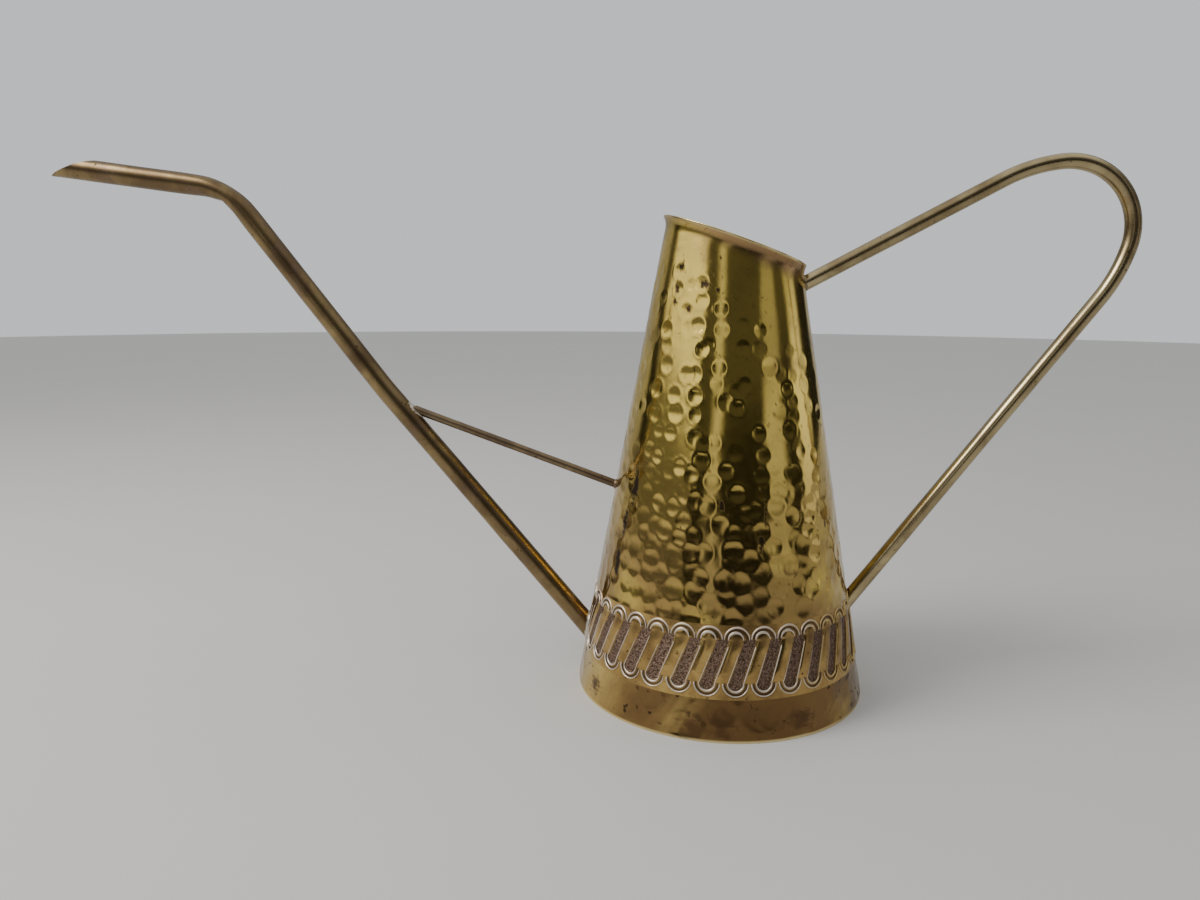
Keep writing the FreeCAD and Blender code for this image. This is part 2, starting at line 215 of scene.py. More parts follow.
def turned_shell(name, low, high, material, columns, rows, inner_rows, rim=0):
    """A plain ring of the cone's sheet between two heights, spun from its section in coarse steps that
    are then divided into columns. A rim of more than 0 points rounds its upper edge."""
    outside = [(level, 0) for level in np.linspace(low, high, rows)]
    inside = [(level, SHEET) for level in np.linspace(high, low, inner_rows)]
    turns = [math.pi * (share + 1) / (rim + 1) for share in range(rim)]
    rounded = [(high + SHEET / 2 * math.sin(turn), SHEET / 2 * (1 - math.cos(turn))) for turn in turns]
    section = outside + rounded + inside
    bm = bmesh.new()
    ring = bmesh.ops.create_circle(bm, segments=len(section), radius=1)["verts"]
    for vertex, (level, depth) in zip(ring, section):
        vertex.co = Vector(((wall_radius(level) - depth / math.cos(WALL_LEAN)) * MM, 0, level * MM))
    bmesh.ops.spin(bm, geom=bm.verts[:] + bm.edges[:], cent=(0, 0, 0), axis=(0, 0, 1), angle=TAU,
                   steps=SPIN_STEPS, use_merge=True)
    hoops = [edge for edge in bm.edges if runs_round(edge)]
    bmesh.ops.subdivide_edges(bm, edges=hoops, cuts=columns // SPIN_STEPS - 1)
    return finish_piece(name, bm, material)


# ---------------------------------------------------------------- hammer marks

WALL_ROWS = 29
ROW_WANDER = 1.9
CROWDED_BELOW = 130
CROWDING_DEPTH = 65
MARK_RADII = (2.9, 3.9)
MARK_DEPTHS = (0.12, 0.40)
MARK_STEPS = (6.2, 11.2)
MARK_REACH = 1.5
CREST_PLACE = 1.08
CREST_WIDTH = 0.17
CREST_SHARE = 0.3

SKIRT_MARKS = 40
SKIRT_MARK_RADII = (5.5, 9.5)
SKIRT_MARK_DEPTHS = (0.16, 0.42)


def handle_side(azimuth):
    """0 round the spout's side of the can, 1 round the handle's, eased between."""
    return smooth_step(-0.2, 0.8, math.cos(azimuth))


def marks_row(dice, azimuth, top, gaps):
    """One rough upright row of round marks: azimuth, height, radius and depth of each. They are wider
    and closer low down, and shallower high up on the handle's side."""
    row = []
    height = top - dice.uniform(0, 9)
    while height > BAND_TOP:
        crowded = float(np.clip((CROWDED_BELOW - height) / CROWDING_DEPTH, 0, 1))
        radius = dice.uniform(*MARK_RADII) + 1.0 * crowded
        depth = dice.uniform(*MARK_DEPTHS) * (1 - 0.4 * handle_side(azimuth) * (1 - crowded))
        sideways = dice.gauss(0, ROW_WANDER) / wall_radius(height)
        if dice.random() > gaps * (1 - crowded):
            row.append((azimuth + sideways, height, radius, depth))
        height -= dice.uniform(*MARK_STEPS)
    return row


def wall_marks():
    """The marks of the hammered wall: rows from under the mouth, and shorter rows between them."""
    dice = random.Random(23)
    marks = []
    for row in range(WALL_ROWS):
        azimuth = TAU * (row + dice.uniform(-0.2, 0.2)) / WALL_ROWS
        bare = 22 + 20 * handle_side(azimuth)
        marks += marks_row(dice, azimuth, float(mouth_edge(azimuth)) - bare, gaps=0.16)
        marks += marks_row(dice, azimuth + math.pi / WALL_ROWS, dice.uniform(95, 140), gaps=0.2)
    return marks


def skirt_marks():
    """The wide shallow marks all round the plain foot."""
    dice = random.Random(5)
    return [(TAU * place / SKIRT_MARKS + dice.uniform(-0.06, 0.06), dice.uniform(0, 16),
             dice.uniform(*SKIRT_MARK_RADII), dice.uniform(*SKIRT_MARK_DEPTHS))
            for place in range(SKIRT_MARKS)]


def dents(marks, azimuth, height):
    """How far the marks move the sheet: in at each mark, and out along its crisp raised edge."""
    order = np.argsort(height)
    sorted_height = height[order]
    cup = np.zeros(len(height))
    crest = np.zeros(len(height))
    for place, level, radius, depth in marks:
        reach = radius * MARK_REACH
        first, last = np.searchsorted(sorted_height, (level - reach, level + reach))
        near = order[first:last]
        near = near[np.abs(turn_from(place, azimuth[near])) * wall_radius(level) < reach]
        across = turn_from(place, azimuth[near]) * wall_radius(height[near])
        away = np.hypot(across, (height[near] - level) / math.cos(WALL_LEAN)) / radius
        cup[near] = np.minimum(cup[near], -depth * np.clip(1 - away ** 2, 0, 1))
        ridge = CREST_SHARE * depth * bell(away - CREST_PLACE, CREST_WIDTH)
        crest[near] = np.maximum(crest[near], ridge)
    return cup + crest


# Azimuth in degrees, height, half width and half height of each stain or pit.
WALL_PITS = [(-133.5, 203, 1.6, 2.2), (-135, 193, 1.2, 3.2), (-135, 187, 1.4, 1.6),
             (-111.5, 194.5, 2.6, 2.6), (-122.5, 184.5, 1.6, 1.6), (-101.6, 205.8, 0.7, 0.7),
             (-101.6, 192.3, 0.8, 1.4), (-144.6, 103, 2.4, 8), (-148.5, 87, 1.9, 6),
             (-149.5, 68, 2.2, 7), (-35.3, 88.7, 1, 1.6), (-73.5, 97, 0.8, 5), (-76, 85, 1.6, 4),
             (-94.6, 101, 1.2, 2), (60, 120, 1.4, 5), (100, 90, 1.2, 6), (140, 160, 1.8, 2.4)]
# On the foot, the large marks round the front, from -103 to -62 degrees, are stains that are partly
# painted shade.
SKIRT_PITS = [(-150.6, 8.5, 5, 5), (-126, 16.9, 0.9, 0.9), (-103, 5, 6, 5.5), (-92, 8, 5, 7),
              (-62, 8, 7, 5), (-30.6, 3.5, 2, 1.5), (25, 9, 6, 4), (95, 7, 7, 5), (150, 6, 6, 4)]
PIT_SPREAD = 1.55


def pitted(places, azimuth, height, ragged):
    """Where stains and pits lie, from 0 to 1, with broken edges. A larger ragged softens them."""
    share = np.zeros(len(height))
    for place, level, half_width, half_height in places:
        across = turn_from(math.radians(place), azimuth) * wall_radius(level)
        away = np.hypot(across / half_width, (height - level) / half_height)
        share = np.maximum(share, PIT_SPREAD - away)
    broken = 0.8 * ripple(61, 3.4, azimuth * 90, height)
    broken = broken + 0.7 * ripple(62, 1.5, azimuth * 110, height)
    return smooth_step(0.35, 0.35 + ragged, share + 0.45 * broken)


def make_wall(material):
    """The hammered wall above the band, with its slanting flared mouth."""
    plain_top = 200
    piece = turned_shell("hammered_wall", BAND_TOP, plain_top, material, columns=450, rows=150,
                         inner_rows=46, rim=5)
    azimuth, height, depth = turned_places(piece)
    edge = mouth_edge(azimuth) - SHEET / 2
    stretched = BAND_TOP + (height - BAND_TOP) / (plain_top - BAND_TOP) * (edge - BAND_TOP)
    height = np.where(height < plain_top, stretched, edge + height - plain_top)
    under_edge = np.clip(edge - height, 0, None)
    beaten = smooth_step(BAND_TOP, BAND_TOP + 2, height)
    out = dents(wall_marks(), azimuth, height) * beaten
    sway = 0.13 * ripple(8, 42, azimuth * 50, height)
    out = out + sway * beaten * smooth_step(0, 8, under_edge)
    out = out + LIP_FLARE * np.clip(1 - under_edge / LIP_HEIGHT, 0, 1) ** 2.4
    moved_points(piece, on_cone(azimuth, height, out - depth))
    surface_values(piece, "under_edge", under_edge)
    surface_values(piece, "lining", depth / SHEET)
    pits = pitted(WALL_PITS, azimuth, height, ragged=0.5)
    surface_values(piece, "pits", pits * (depth < SHEET / 2))
    return piece


def make_skirt(material):
    """The plain foot under the band, with wide soft hammer marks and a worn lower edge."""
    piece = turned_shell("plain_skirt", SKIRT_START, FOOT_TOP, material, columns=450, rows=26,
                         inner_rows=4)
    azimuth, height, depth = turned_places(piece)
    settled = smooth_step(0, 2.5, height) * (1 - smooth_step(FOOT_TOP - 2.5, FOOT_TOP, height))
    out = dents(skirt_marks(), azimuth, height) * settled
    sway = 0.10 * ripple(12, 26, azimuth * 68, height)
    out = out + sway * settled
    worn_away = 0.12 * (1 - smooth_step(0, 1, height))
    out = out - worn_away * (depth < SHEET / 2)
    moved_points(piece, on_cone(azimuth, height, out - depth))
    surface_values(piece, "lining", depth / SHEET)
    # The stains; those over the front are partly painted shade.
    pits = pitted(SKIRT_PITS, azimuth, height, ragged=0.9)
    surface_values(piece, "pits", pits * (depth < SHEET / 2) * 0.9)
    return piece


# ---------------------------------------------------------------- the embossed band

BAND_UNITS = 33
BAND_FOOT = 19.6
ARCH_LOW = 5.9
ARCH_HIGH = 24.7
ARCH_RADIUS = 5.85
BAR_SLANT = 0.54
STIPPLE_HALF = 0.27
TOP_SHIFT = 0.04
REED_HEIGHT = 0.62
STIPPLE_DEPTH = 0.34
GROOVE_DEPTH = 0.24
GROOVE_WIDTH = 0.6
GRAIN_HEIGHT = 0.11
RIB_HEIGHT = 0.38
RIB_ROOT = 0.5
RIB_FULL_WIDTH = 0.5


def band_height(along):
    """Height of a place along the band's slope, which starts at its lowest arches."""
    return BAND_FOOT + along * math.cos(WALL_LEAN)


def band_pitch(along):
    """Width of one unit of the band at that place."""
    return TAU * wall_radius(band_height(along)) / BAND_UNITS


def off_centre(turns):
    """The same place as a share of one unit either side of the nearest whole number."""
    return (turns + 0.5) % 1 - 0.5


def bar_shift(along):
    """How far a slanting bar has moved sideways at a place, as a share of one unit."""
    return BAR_SLANT * (along - ARCH_LOW) / (ARCH_HIGH - ARCH_LOW)


def band_relief(azimuth, height):
    """How far the band stands out, where it is stippled, and where its grooves lie, with a dip at each
    smooth bar's top that also carries painted shade.
    """
    unit = azimuth / TAU * BAND_UNITS
    along = (height - BAND_FOOT) / math.cos(WALL_LEAN)
    pitch = band_pitch(along)
    slanted = off_centre(unit - bar_shift(along))
    across_top = off_centre(unit - TOP_SHIFT) * pitch
    from_top = np.hypot(across_top, along - ARCH_HIGH)
    from_low = np.hypot(off_centre(unit) * pitch, along - ARCH_LOW)
    over_heads = along > ARCH_HIGH
    under_feet = along < ARCH_LOW

    reed_half = (0.5 - STIPPLE_HALF) * pitch
    across_reed = np.where(over_heads, from_top * 0.8, (0.5 - np.abs(slanted)) * pitch)
    reed = REED_HEIGHT * np.sqrt(np.clip(1 - (across_reed / reed_half) ** 2, 0, 1))
    reed = reed * smooth_step(4.6, 11, along)

    from_side = STIPPLE_HALF * pitch - 0.3 - np.abs(slanted) * pitch
    from_reed = np.where(under_feet, 3.3 - from_low, from_side)
    stipple = smooth_step(0, 0.5, from_reed) * (1 - smooth_step(25.2, 27.4, along))
    stipple = np.where(over_heads & (from_top < 5.4), 0, stipple)

    top_groove = bell(from_top - 4.5, GROOVE_WIDTH) * over_heads
    low_groove = bell(from_low - 4.7, GROOVE_WIDTH) * under_feet
    # A dip at the top of each smooth bar, under the upper arch, darkened there as painted shade.
    painted_bar_top_shade = 0.6 * bell(np.hypot(across_top, along - ARCH_HIGH + 1), 2.6)
    groove_and_shade = np.maximum(np.maximum(top_groove, low_groove), painted_bar_top_shade)
    grain = ripple(3, 1.6, azimuth * 64, along) + ripple(4, 1.1, azimuth * 64, along)
    relief = reed - STIPPLE_DEPTH * stipple - GROOVE_DEPTH * groove_and_shade + GRAIN_HEIGHT * grain * stipple
    above_foot = smooth_step(FOOT_TOP, FOOT_TOP + 1.5, height)
    settled = above_foot * (1 - smooth_step(BAND_TOP - 1.5, BAND_TOP, height))
    return relief * settled, stipple, groove_and_shade


def make_band(material):
    """The embossed ring of slanting bars."""
    piece = turned_shell("embossed_band", FOOT_TOP, BAND_TOP, material, columns=990, rows=74,
                         inner_rows=3)
    azimuth, height, depth = turned_places(piece)
    relief, stipple, groove_and_shade = band_relief(azimuth, height)
    outside = depth < SHEET / 2
    moved_points(piece, on_cone(azimuth, height, np.where(outside, relief, 0) - depth))
    surface_values(piece, "stipple", stipple * outside)
    surface_values(piece, "groove_and_shade", groove_and_shade * outside)
    surface_values(piece, "lining", depth / SHEET)
    return piece


def arc_line(centre_unit, centre_along, radius, start, end, stations):
    """Places along an arc of the band's pattern: across in mm from the unit's middle, and along."""
    turns = np.radians(np.linspace(start, end, stations))
    return np.stack([centre_unit * band_pitch(centre_along) + radius * np.cos(turns),
                     centre_along + radius * np.sin(turns)], -1)


def bar_line(side, low, high, stations):
    """Places along one side of a slanting bar."""
    along = np.linspace(low, high, stations)
    return np.stack([(side + bar_shift(along)) * band_pitch(along), along], -1)


def raised_line(bm, line, widths):
    """A rounded rib along a line of the pattern, of the widths given, and of none at both ends."""
    forward = np.gradient(line, axis=0)
    forward = forward / np.linalg.norm(forward, axis=1)[:, None]
    side = np.stack([-forward[:, 1], forward[:, 0]], -1)
    share = np.linspace(-1, 1, len(line))
    width = np.interp(share, np.linspace(-1, 1, len(widths)), widths) * np.clip(1 - share ** 16, 0, 1)
    section = np.radians([0, 35, 65, 90, 115, 145, 180, 270, 360])
    across = line[:, None, :] + side[:, None, :] * (np.cos(section) * width[:, None] / 2)[..., None]
    out = np.where(np.sin(section) < 0, -RIB_ROOT, 0.08 + RIB_HEIGHT * np.sin(section))
    out = out * np.minimum(width / RIB_FULL_WIDTH, 1)[:, None]
    azimuth = across[..., 0] / band_pitch(across[..., 1]) * TAU / BAND_UNITS
    shaped_sheet(bm, on_cone(azimuth, band_height(across[..., 1]), out))


def make_ribs(material):
    """The thin raised lines of the pattern: one unit's lines, spun round the cone."""
    bm = bmesh.new()
    low_outer = arc_line(0, ARCH_LOW, ARCH_RADIUS - 0.3, 178, 362, 22)
    low_inner = arc_line(0, ARCH_LOW, 3.5, 172, 372, 20)
    top_outer = arc_line(TOP_SHIFT, ARCH_HIGH, ARCH_RADIUS - 0.35, -4, 184, 22)
    top_inner = arc_line(TOP_SHIFT - 0.04, ARCH_HIGH, 3.25, -6, 186, 20)
    raised_line(bm, low_outer, [0.8, 0.7, 0.6, 0.5, 0.5])
    raised_line(bm, low_inner, [0.35, 0.8, 1.0, 0.7, 0.5])
    raised_line(bm, top_outer, [0.5, 0.7, 0.95, 0.7, 0.5])
    raised_line(bm, top_inner, [0.45, 1.0, 1.35, 1.0, 0.45])
    raised_line(bm, bar_line(STIPPLE_HALF, 5, 22.6, 12), [0.5, 0.58, 0.5])
    raised_line(bm, bar_line(-STIPPLE_HALF, 5, 19.8, 12), [0.4, 0.4, 0.3])
    bmesh.ops.spin(bm, geom=bm.verts[:] + bm.edges[:] + bm.faces[:], cent=(0, 0, 0), axis=(0, 0, 1),
                   angle=TAU, steps=BAND_UNITS, use_duplicate=True, use_merge=True)
    return finish_piece("band_ribs", bm, material, crease=80)


# ---------------------------------------------------------------- tubes

def heading_between(start, end):
    """Angle of the way from one place to another in the middle plane."""
    return math.atan2(end[1] - start[1], end[0] - start[0])


def bent_line(start, heading, runs, spacing):
    """Places and headings along a line in the middle plane. Each run is a length and a turn."""
    places = [start]
    headings = [heading]
    for length, turn in runs:
        steps = max(2, round(length / spacing))
        stride = length / steps
        for _ in range(steps):
            heading += turn / steps / 2
            x, z = places[-1]
            places.append((x + stride * math.cos(heading), z + stride * math.sin(heading)))
            heading += turn / steps / 2
            headings.append(heading)
    return np.array(places), np.array(headings)


def spout_line():
    """The spout's centreline, from inside the body to just past its tip."""
    headings = [heading_between(*ends) for ends in zip(SPOUT_CORNERS, SPOUT_CORNERS[1:])]
    turns = [after - before for before, after in zip(headings, headings[1:])]
    cut_back = [0] + [bend * abs(math.tan(turn / 2)) for bend, turn in zip(SPOUT_BENDS, turns)] + [0]
    runs = []
    for index, ends in enumerate(zip(SPOUT_CORNERS, SPOUT_CORNERS[1:])):
        runs.append((math.dist(*ends) - cut_back[index] - cut_back[index + 1], 0))
        if index < len(turns):
            runs.append((SPOUT_BENDS[index] * abs(turns[index]), turns[index]))
    return bent_line(SPOUT_CORNERS[0], headings[0], runs, SPOUT_SPACING)


def easing_entry(end, rise, side):
    """Length of a straight run of the handle before its easier curve, and the angle at which that
    curve meets the tight bend."""
    centre_x = end[0] + EASING_RADIUS * side * math.sin(rise) - BEND_CENTRE[0]
    centre_z = end[1] - EASING_RADIUS * side * math.cos(rise) - BEND_CENTRE[1]
    along = centre_x * math.cos(rise) + centre_z * math.sin(rise)
    apart = EASING_RADIUS - BEND_RADIUS
    length = -along - math.sqrt(along ** 2 - centre_x ** 2 - centre_z ** 2 + apart ** 2)
    centre = (centre_x + length * math.cos(rise), centre_z + length * math.sin(rise))
    return length, math.atan2(-centre[1], -centre[0])


def handle_line():
    """The handle's centreline, from its upper end to its lower one."""
    top_run, top_meets = easing_entry(HANDLE_TOP, HANDLE_TOP_RISE, 1)
    foot_run, foot_meets = easing_entry(HANDLE_FOOT, HANDLE_FOOT_RISE, -1)
    headings = [HANDLE_TOP_RISE, top_meets - math.pi / 2, foot_meets - math.pi / 2,
                HANDLE_FOOT_RISE - math.pi]
    turns = [after - before for before, after in zip(headings, headings[1:])]
    radii = [EASING_RADIUS, BEND_RADIUS, EASING_RADIUS]
    arcs = [(radius * abs(turn), turn) for radius, turn in zip(radii, turns)]
    return bent_line(HANDLE_TOP, headings[0], [(top_run, 0)] + arcs + [(foot_run, 0)], HANDLE_SPACING)


def rings_along(places, headings, left, sideways):
    """Rings of points round a line in the middle plane, from their offsets to its left and sideways."""
    x = places[:, :1] - left * np.sin(headings)[:, None]
    z = places[:, 1:] + left * np.cos(headings)[:, None]
    return np.stack([x, sideways, z], -1)


def circle_offsets(radii, sides):
    """Offsets of round rings, one ring for each radius."""
    turns = np.linspace(0, TAU, sides + 1)
    return np.outer(radii, np.cos(turns)), np.outer(radii, np.sin(turns))


def from_wall(points):
    """How far points are outside the cone."""
    return np.hypot(points[..., 0], points[..., 1]) - wall_radius(points[..., 2])


def from_spout(points):
    """How far points are outside the spout."""
    places, _ = spout_line()
    gaps = np.hypot(points[..., 0, None] - places[:, 0], points[..., 2, None] - places[:, 1]).min(-1)
    return np.hypot(gaps, points[..., 1]) - SPOUT_RADIUS


def landed(points, way, outside, depth=0):
    """Slides points along a way that leads out of a surface until they lie on it, or as deep under it
    as given. The place is found by halving a reach either way."""
    reach = 22.0
    halvings = 24
    low = np.full(points.shape[:-1], -reach)
    high = -low
    for _ in range(halvings):
        middle = (low + high) / 2
        out = outside(points + middle[..., None] * way) > -depth
        high = np.where(out, middle, high)
        low = np.where(out, low, middle)
    return points + middle[..., None] * way


def fitted_end(rings, way, outside, depth, ease):
    """Shapes the first ring to a surface and eases the next ones after it."""
    slide = landed(rings[0], way, outside, depth) - rings[0]
    run = np.linalg.norm(rings.mean(1) - rings[0].mean(0), axis=-1)
    share = np.clip(1 - run / ease, 0, 1)[:, None, None]
    return rings + slide[None] * share


def capped_tube(bm, rings):
    """A closed tube through rings, each end drawn together at its middle."""
    first, last = (np.repeat(ring.mean(0)[None, None], rings.shape[1], axis=1)
                   for ring in rings[[0, -1]])
    shaped_sheet(bm, np.concatenate([first, rings, last]))


def along_heading(heading):
    """Unit vector of a heading in the middle plane."""
    return np.array([math.cos(heading), 0, math.sin(heading)])


def make_spout(material):
    """The spout: a thin tube with a slight bow, a pinched bend and a slanting tip."""
    places, headings = spout_line()
    tip = np.array([-TIP_REACH, TIP_LIP_HEIGHT])
    run = np.append(0, np.cumsum(np.linalg.norm(np.diff(places, axis=0), axis=1)))
    last = along_heading(headings[-1])[[0, 2]]
    lip_run = run[-1] + (tip - places[-1]) @ last
    corner = np.array(SPOUT_CORNERS[2])
    bend_run = run[np.argmin(np.linalg.norm(places - corner, axis=1))]
    easing_start = lip_run - TIP_EASING
    steady = run[run < easing_start]
    turns = np.linspace(0, TAU, SPOUT_SIDES + 1)
    shares = np.linspace(0, 1, 22)[:, None]
    rows = []
    for radius, way in ((SPOUT_RADIUS, 1), (SPOUT_RADIUS - TUBE_GAUGE, -1)):
        rise = np.clip((SPOUT_RADIUS - radius * np.cos(turns)) / (2 * SPOUT_RADIUS), 0, 1)
        rounding = 0.9 * np.clip(rise - 0.72, 0, 1) ** 1.5
        cut = lip_run - 2 * SPOUT_RADIUS / math.tan(TIP_CUT) * (rise + rounding)
        plain = np.repeat(steady[:, None], len(turns), 1)
        stations = np.concatenate([plain, easing_start + shares * (cut - easing_start)])
        pinch = bell(stations - bend_run, PINCH_LENGTH)
        crease = np.exp(-np.abs(stations - bend_run) / 2.2) * np.clip(np.cos(turns), 0, 1) ** 3
        wobble = 0.06 * ripple(31, 30, stations, 5 * np.cos(turns), 5 * np.sin(turns))
        left = (radius + wobble) * np.cos(turns) * (1 - 0.13 * pinch) - CREASE_DEPTH * crease
        sideways = (radius + wobble) * np.sin(turns) * (1 + 0.05 * pinch)
        x = np.interp(stations, run, places[:, 0])
        z = np.interp(stations, run, places[:, 1])
        lean = np.interp(stations, run, headings)
        rings = np.stack([x - left * np.sin(lean), sideways, z + left * np.cos(lean)], -1)
        rows.append(rings[::way])
    shell = np.concatenate(rows)
    bm = bmesh.new()
    shaped_sheet(bm, np.concatenate([shell, shell[:1]]))
    return finish_piece("bent_spout", bm, material)


def make_handle(material):
    """The bent handle tube, both ends shaped to the cone."""
    places, headings = handle_line()
    stations = np.arange(len(places)) * HANDLE_SPACING
    left, sideways = circle_offsets(HANDLE_RADIUS + 0.05 * ripple(41, 36, stations), 36)
    rings = rings_along(places, headings, left, sideways)
    rings = fitted_end(rings, along_heading(headings[0]), from_wall, TUBE_SINK, ease=18)
    lower_way = along_heading(headings[-1] + math.pi)
    rings = fitted_end(rings[::-1], lower_way, from_wall, TUBE_SINK, ease=18)
    bm = bmesh.new()
    capped_tube(bm, rings)
    return finish_piece("bent_handle", bm, material)


def make_brace(material):
    """The rod between the wall and the spout. Its front end sinks into the tube on one side and stands
    off it on the other."""
    heading = math.pi - BRACE_RISE
    places, headings = bent_line(BRACE_REAR, heading, [(BRACE_LENGTH, 0)], BRACE_SPACING)
    stations = np.arange(len(places)) * BRACE_SPACING
    left, sideways = circle_offsets(BRACE_RADIUS + 0.04 * ripple(43, 20, stations), 24)
    rings = rings_along(places, headings, left, sideways)
    rings = fitted_end(rings, along_heading(heading), from_wall, TUBE_SINK, ease=14)
    sunk = 0.4 - 1.9 * np.clip(left[0] / -BRACE_RADIUS, 0, 1)
    rings = fitted_end(rings[::-1], along_heading(heading + math.pi), from_spout, sunk, ease=16)
    bm = bmesh.new()
    capped_tube(bm, rings)
    return finish_piece("brace_rod", bm, material)


# ---------------------------------------------------------------- solder

SOLDER_SIDES = 72
SOLDER_ROOT = 0.5


def make_solder(name, node, start, heading, radius, spread, rise, outside, seed, material):
    """A concave fillet of solder round a tube that leaves a surface, uneven as run by hand."""
    way = along_heading(heading)
    turns = np.linspace(0, TAU, SOLDER_SIDES + 1)
    left = np.array([-math.sin(heading), 0, math.cos(heading)])
    round_tube = np.cos(turns)[:, None] * left + np.sin(turns)[:, None] * np.array([0, 1, 0])
    uneven = ripple(seed, 5, radius * np.cos(turns), radius * np.sin(turns))
    lump = ripple(seed + 1, 2.2, radius * np.cos(turns), radius * np.sin(turns))
    curve = np.radians([0, 15, 32, 50, 68, 90])
    toe = spread * (1 + 0.3 * uneven + 0.12 * lump)[:, None]
    top = rise * (1 + 0.3 * lump + 0.15 * uneven)[:, None]
    within = np.full((len(turns), 2), radius - SOLDER_ROOT)
    away = np.concatenate([radius + toe * (1 - np.sin(curve)), within, radius + toe], 1)
    under = np.full((len(turns), 2), -SOLDER_ROOT)
    up = np.concatenate([top * (1 - np.cos(curve)) + 0.04, top, under], 1)
    base = np.array([start[0], 0, start[1]])
    points = landed(base + away[..., None] * round_tube[:, None, :], way, outside)
    points = points + up[..., None] * way
    points = np.concatenate([points, points[:, :1]], axis=1)
    bm = bmesh.new()
    shaped_sheet(bm, points)
    piece = finish_piece(name, bm, material, crease=60)
    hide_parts(node)
    return piece


# ---------------------------------------------------------------- materials

def add(tree, kind, sockets, **settings):
    """Adds a node and fills its sockets from a dict of names or numbers to values or other sockets."""
    node = tree.nodes.new("ShaderNode" + kind)
    for name, value in settings.items():
        setattr(node, name, value)
    for name, value in sockets.items():
        if isinstance(value, bpy.types.NodeSocket):
            tree.links.new(value, node.inputs[name])
        else:
            node.inputs[name].default_value = value
    return node


def math_node(tree, operation, *values):
    """The result of a Math node."""
    return add(tree, "Math", dict(enumerate(values)), operation=operation).outputs[0]


def noise(tree, place, scale, detail=4, roughness=0.55, distortion=0.0):
    """The value of a noise texture."""
    sockets = {"Vector": place, "Scale": scale, "Detail": detail, "Roughness": roughness,
               "Distortion": distortion}
    return add(tree, "TexNoise", sockets).outputs["Fac"]


def eased(tree, value, low, high):
    """0 under low, 1 over high, eased between."""
    sockets = {"Value": value, "From Min": low, "From Max": high}
    return add(tree, "MapRange", sockets, interpolation_type="SMOOTHSTEP").outputs[0]


def blended(tree, share, first, second):
    """A colour between two others."""
    return add(tree, "Mix", {0: share, 6: first, 7: second}, data_type="RGBA").outputs[2]


def new_group(name, inputs, outputs):
    """A shader node group with the sockets named, and its input and output nodes."""
    tree = bpy.data.node_groups.new(name, "ShaderNodeTree")
    for in_out, sockets in (("INPUT", inputs), ("OUTPUT", outputs)):
        for socket, kind in sockets.items():
            tree.interface.new_socket(socket, in_out=in_out, socket_type="NodeSocket" + kind)
    return tree, tree.nodes.new("NodeGroupInput").outputs, tree.nodes.new("NodeGroupOutput").inputs


def brass_patina_group():
    """Brass between clean and aged in clouds, with dark specks. Roughness follows the age."""
    inputs = {"Place": "Vector", "Size": "Float", "Age": "Float", "Specks": "Float", "Clean": "Color",
              "Aged": "Color", "Dark": "Color", "Dullness": "Float"}
    tree, given, result = new_group("brass_patina", inputs, {"Color": "Color", "Roughness": "Float"})
    clouds = noise(tree, given["Place"], given["Size"], 6, 0.62, 0.6)
    patches = noise(tree, given["Place"], math_node(tree, "MULTIPLY", given["Size"], 0.3), 3)
    mixed = math_node(tree, "ADD", math_node(tree, "MULTIPLY", clouds, 0.6),
                      math_node(tree, "MULTIPLY", patches, 0.4))
    lean = math_node(tree, "ADD", mixed, math_node(tree, "SUBTRACT", given["Age"], 0.5))
    aged = eased(tree, lean, 0.35, 0.65)
    fine = noise(tree, given["Place"], math_node(tree, "MULTIPLY", given["Size"], 11), 3, 0.6)
    threshold = math_node(tree, "SUBTRACT", 0.74, math_node(tree, "MULTIPLY", given["Specks"], 0.2))
    specks = eased(tree, fine, threshold, math_node(tree, "ADD", threshold, 0.05))
    specks = math_node(tree, "MULTIPLY", specks, math_node(tree, "ADD", 0.35, aged))
    specks = math_node(tree, "MINIMUM", specks, 0.85)
    color = blended(tree, aged, given["Clean"], given["Aged"])
    tree.links.new(blended(tree, specks, color, given["Dark"]), result["Color"])
    dull = math_node(tree, "ADD", given["Dullness"], math_node(tree, "MULTIPLY", aged, 0.1))
    dull = math_node(tree, "ADD", dull, math_node(tree, "MULTIPLY", specks, 0.25))
    dull = math_node(tree, "ADD", dull, math_node(tree, "MULTIPLY", fine, 0.08))
    tree.links.new(dull, result["Roughness"])
    return tree


def hand_finish_group():
    """Height of the faint unevenness and rubbing marks of a hand-finished surface."""
    inputs = {"Place": "Vector", "Size": "Float", "Rubbing": "Float"}
    tree, given, result = new_group("hand_finish", inputs, {"Height": "Float"})
    soft = noise(tree, given["Place"], given["Size"], 3, 0.5)
    stretch = add(tree, "Mapping", {"Vector": given["Place"], "Scale": (1, 1, 0.06)}).outputs[0]
    rubbed = noise(tree, stretch, math_node(tree, "MULTIPLY", given["Size"], 8), 4, 0.7)
    height = math_node(tree, "ADD", soft, math_node(tree, "MULTIPLY", rubbed, given["Rubbing"]))
    tree.links.new(height, result["Height"])
    return tree


PATINA = brass_patina_group()
FINISH = hand_finish_group()

BRIGHT = (0.86, 0.64, 0.145, 1)
OLIVE = (0.42, 0.285, 0.10, 1)
# Pale bright brass: rubbed metal on the foot's lower edge, and a painted highlight along the lip.
PALE_WEAR_AND_HIGHLIGHT = (0.90, 0.74, 0.36, 1)
